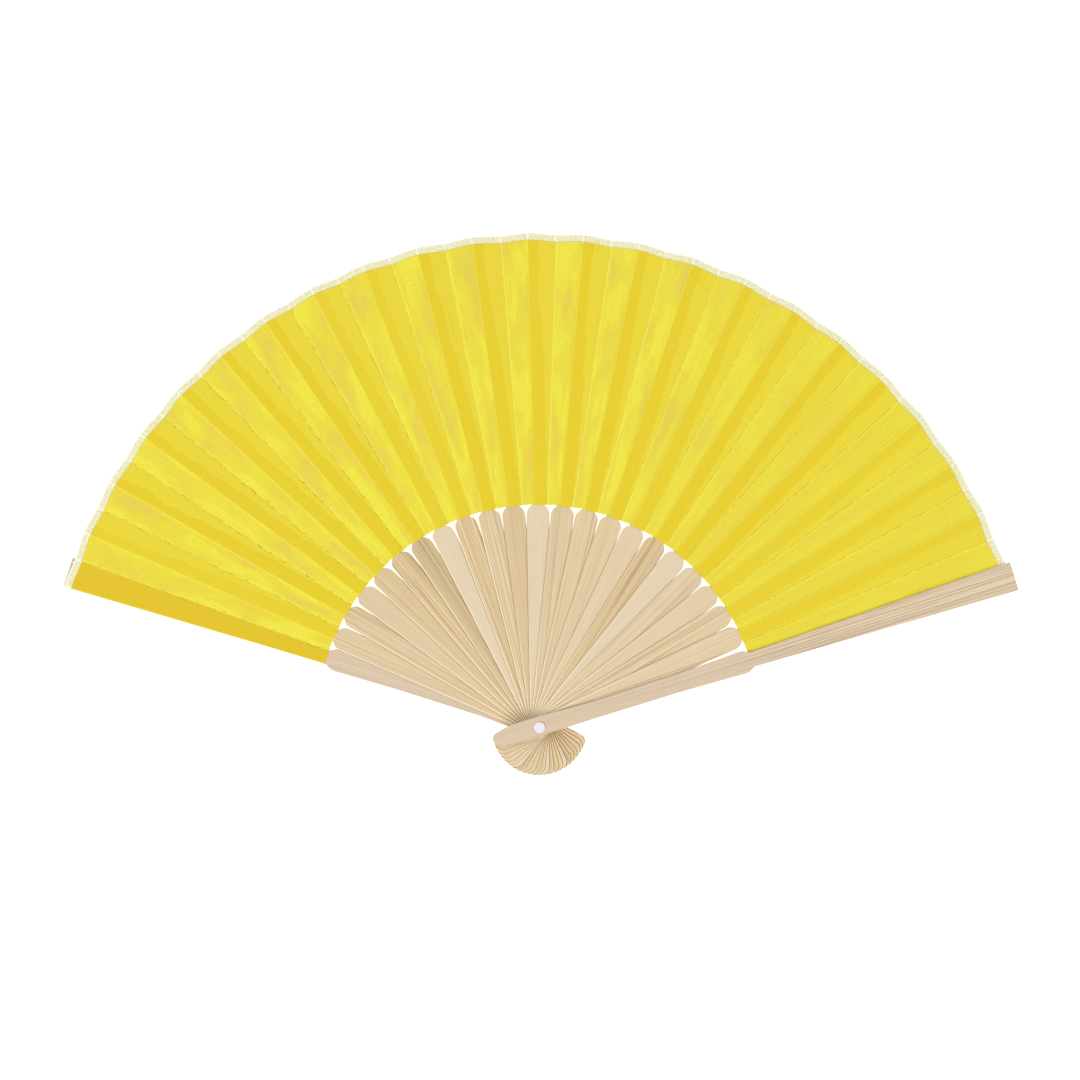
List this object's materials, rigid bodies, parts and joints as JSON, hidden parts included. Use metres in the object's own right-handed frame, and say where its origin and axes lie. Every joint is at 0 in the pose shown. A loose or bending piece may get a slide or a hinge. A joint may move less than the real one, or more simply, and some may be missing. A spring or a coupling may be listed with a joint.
{
  "type": "folding hand fan",
  "caption": "Folding hand fan lying open and flat, with slim bamboo ribs between two guards on one rivet and a pleated yellow cloth leaf with a bound edge.",
  "frame": {"origin": "on the rivet's axis, at the underside of its rear cap, which is the fan's lowest face", "axes": "+Z along the rivet from the rear cap to the front head, +Y from the rivet to the middle of the open leaf, +X towards the front guard"},
  "size_m": [0.4025, 0.2285, 0.019],
  "materials": {
    "guard_wood": "satin",
    "rib_bamboo": "satin",
    "leaf_cloth": "satin",
    "rivet_plastic": "gloss"
  },
  "bodies": {
    "rear_guard_stick": {"rear_guard": "guard_wood", "leaf_rear": "leaf_cloth", "rivet_pin": "rivet_plastic", "rivet_cap": "rivet_plastic"},
    "rib_21_stick": {"rib_21": "rib_bamboo", "leaf_21": "leaf_cloth"},
    "rib_20_stick": {"rib_20": "rib_bamboo", "leaf_20": "leaf_cloth"},
    "rib_19_stick": {"rib_19": "rib_bamboo", "leaf_19": "leaf_cloth"},
    "rib_18_stick": {"rib_18": "rib_bamboo", "leaf_18": "leaf_cloth"},
    "rib_17_stick": {"rib_17": "rib_bamboo", "leaf_17": "leaf_cloth"},
    "rib_16_stick": {"rib_16": "rib_bamboo", "leaf_16": "leaf_cloth"},
    "rib_15_stick": {"rib_15": "rib_bamboo", "leaf_15": "leaf_cloth"},
    "rib_14_stick": {"rib_14": "rib_bamboo", "leaf_14": "leaf_cloth"},
    "rib_13_stick": {"rib_13": "rib_bamboo", "leaf_13": "leaf_cloth"},
    "rib_12_stick": {"rib_12": "rib_bamboo", "leaf_12": "leaf_cloth"},
    "rib_11_stick": {"rib_11": "rib_bamboo", "leaf_11": "leaf_cloth"},
    "rib_10_stick": {"rib_10": "rib_bamboo", "leaf_10": "leaf_cloth"},
    "rib_09_stick": {"rib_09": "rib_bamboo", "leaf_09": "leaf_cloth"},
    "rib_08_stick": {"rib_08": "rib_bamboo", "leaf_08": "leaf_cloth"},
    "rib_07_stick": {"rib_07": "rib_bamboo", "leaf_07": "leaf_cloth"},
    "rib_06_stick": {"rib_06": "rib_bamboo", "leaf_06": "leaf_cloth"},
    "rib_05_stick": {"rib_05": "rib_bamboo", "leaf_05": "leaf_cloth"},
    "rib_04_stick": {"rib_04": "rib_bamboo", "leaf_04": "leaf_cloth"},
    "rib_03_stick": {"rib_03": "rib_bamboo", "leaf_03": "leaf_cloth"},
    "rib_02_stick": {"rib_02": "rib_bamboo", "leaf_02": "leaf_cloth"},
    "rib_01_stick": {"rib_01": "rib_bamboo", "leaf_01": "leaf_cloth"},
    "front_guard_stick": {"front_guard": "guard_wood", "leaf_front": "leaf_cloth"}
  },
  "joints": [
    {"name": "pleat_22", "type": "hinge", "parent": "rear_guard_stick", "child": "rib_21_stick", "pos_m": [0, 0, 0], "axis": [0, 0, 1], "range_deg": [0, 6.55]},
    {"name": "pleat_21", "type": "hinge", "parent": "rib_21_stick", "child": "rib_20_stick", "pos_m": [0, 0, 0], "axis": [0, 0, 1], "range_deg": [0, 6.55]},
    {"name": "pleat_20", "type": "hinge", "parent": "rib_20_stick", "child": "rib_19_stick", "pos_m": [0, 0, 0], "axis": [0, 0, 1], "range_deg": [0, 6.55]},
    {"name": "pleat_19", "type": "hinge", "parent": "rib_19_stick", "child": "rib_18_stick", "pos_m": [0, 0, 0], "axis": [0, 0, 1], "range_deg": [0, 6.55]},
    {"name": "pleat_18", "type": "hinge", "parent": "rib_18_stick", "child": "rib_17_stick", "pos_m": [0, 0, 0], "axis": [0, 0, 1], "range_deg": [0, 6.55]},
    {"name": "pleat_17", "type": "hinge", "parent": "rib_17_stick", "child": "rib_16_stick", "pos_m": [0, 0, 0], "axis": [0, 0, 1], "range_deg": [0, 6.55]},
    {"name": "pleat_16", "type": "hinge", "parent": "rib_16_stick", "child": "rib_15_stick", "pos_m": [0, 0, 0], "axis": [0, 0, 1], "range_deg": [0, 6.55]},
    {"name": "pleat_15", "type": "hinge", "parent": "rib_15_stick", "child": "rib_14_stick", "pos_m": [0, 0, 0], "axis": [0, 0, 1], "range_deg": [0, 6.55]},
    {"name": "pleat_14", "type": "hinge", "parent": "rib_14_stick", "child": "rib_13_stick", "pos_m": [0, 0, 0], "axis": [0, 0, 1], "range_deg": [0, 6.55]},
    {"name": "pleat_13", "type": "hinge", "parent": "rib_13_stick", "child": "rib_12_stick", "pos_m": [0, 0, 0], "axis": [0, 0, 1], "range_deg": [0, 6.55]},
    {"name": "pleat_12", "type": "hinge", "parent": "rib_12_stick", "child": "rib_11_stick", "pos_m": [0, 0, 0], "axis": [0, 0, 1], "range_deg": [0, 6.55]},
    {"name": "pleat_11", "type": "hinge", "parent": "rib_11_stick", "child": "rib_10_stick", "pos_m": [0, 0, 0], "axis": [0, 0, 1], "range_deg": [0, 6.55]},
    {"name": "pleat_10", "type": "hinge", "parent": "rib_10_stick", "child": "rib_09_stick", "pos_m": [0, 0, 0], "axis": [0, 0, 1], "range_deg": [0, 6.55]},
    {"name": "pleat_09", "type": "hinge", "parent": "rib_09_stick", "child": "rib_08_stick", "pos_m": [0, 0, 0], "axis": [0, 0, 1], "range_deg": [0, 6.55]},
    {"name": "pleat_08", "type": "hinge", "parent": "rib_08_stick", "child": "rib_07_stick", "pos_m": [0, 0, 0], "axis": [0, 0, 1], "range_deg": [0, 6.55]},
    {"name": "pleat_07", "type": "hinge", "parent": "rib_07_stick", "child": "rib_06_stick", "pos_m": [0, 0, 0], "axis": [0, 0, 1], "range_deg": [0, 6.55]},
    {"name": "pleat_06", "type": "hinge", "parent": "rib_06_stick", "child": "rib_05_stick", "pos_m": [0, 0, 0], "axis": [0, 0, 1], "range_deg": [0, 6.55]},
    {"name": "pleat_05", "type": "hinge", "parent": "rib_05_stick", "child": "rib_04_stick", "pos_m": [0, 0, 0], "axis": [0, 0, 1], "range_deg": [0, 6.55]},
    {"name": "pleat_04", "type": "hinge", "parent": "rib_04_stick", "child": "rib_03_stick", "pos_m": [0, 0, 0], "axis": [0, 0, 1], "range_deg": [0, 6.55]},
    {"name": "pleat_03", "type": "hinge", "parent": "rib_03_stick", "child": "rib_02_stick", "pos_m": [0, 0, 0], "axis": [0, 0, 1], "range_deg": [0, 6.55]},
    {"name": "pleat_02", "type": "hinge", "parent": "rib_02_stick", "child": "rib_01_stick", "pos_m": [0, 0, 0], "axis": [0, 0, 1], "range_deg": [0, 6.55]},
    {"name": "pleat_01", "type": "hinge", "parent": "rib_01_stick", "child": "front_guard_stick", "pos_m": [0, 0, 0], "axis": [0, 0, 1], "range_deg": [0, 6.55]}
  ],
  "couplings": [
    {"joint": "pleat_21", "follows": "pleat_22", "ratio": 1},
    {"joint": "pleat_20", "follows": "pleat_22", "ratio": 1},
    {"joint": "pleat_19", "follows": "pleat_22", "ratio": 1},
    {"joint": "pleat_18", "follows": "pleat_22", "ratio": 1},
    {"joint": "pleat_17", "follows": "pleat_22", "ratio": 1},
    {"joint": "pleat_16", "follows": "pleat_22", "ratio": 1},
    {"joint": "pleat_15", "follows": "pleat_22", "ratio": 1},
    {"joint": "pleat_14", "follows": "pleat_22", "ratio": 1},
    {"joint": "pleat_13", "follows": "pleat_22", "ratio": 1},
    {"joint": "pleat_12", "follows": "pleat_22", "ratio": 1},
    {"joint": "pleat_11", "follows": "pleat_22", "ratio": 1},
    {"joint": "pleat_10", "follows": "pleat_22", "ratio": 1},
    {"joint": "pleat_09", "follows": "pleat_22", "ratio": 1},
    {"joint": "pleat_08", "follows": "pleat_22", "ratio": 1},
    {"joint": "pleat_07", "follows": "pleat_22", "ratio": 1},
    {"joint": "pleat_06", "follows": "pleat_22", "ratio": 1},
    {"joint": "pleat_05", "follows": "pleat_22", "ratio": 1},
    {"joint": "pleat_04", "follows": "pleat_22", "ratio": 1},
    {"joint": "pleat_03", "follows": "pleat_22", "ratio": 1},
    {"joint": "pleat_02", "follows": "pleat_22", "ratio": 1},
    {"joint": "pleat_01", "follows": "pleat_22", "ratio": 1}
  ]
}
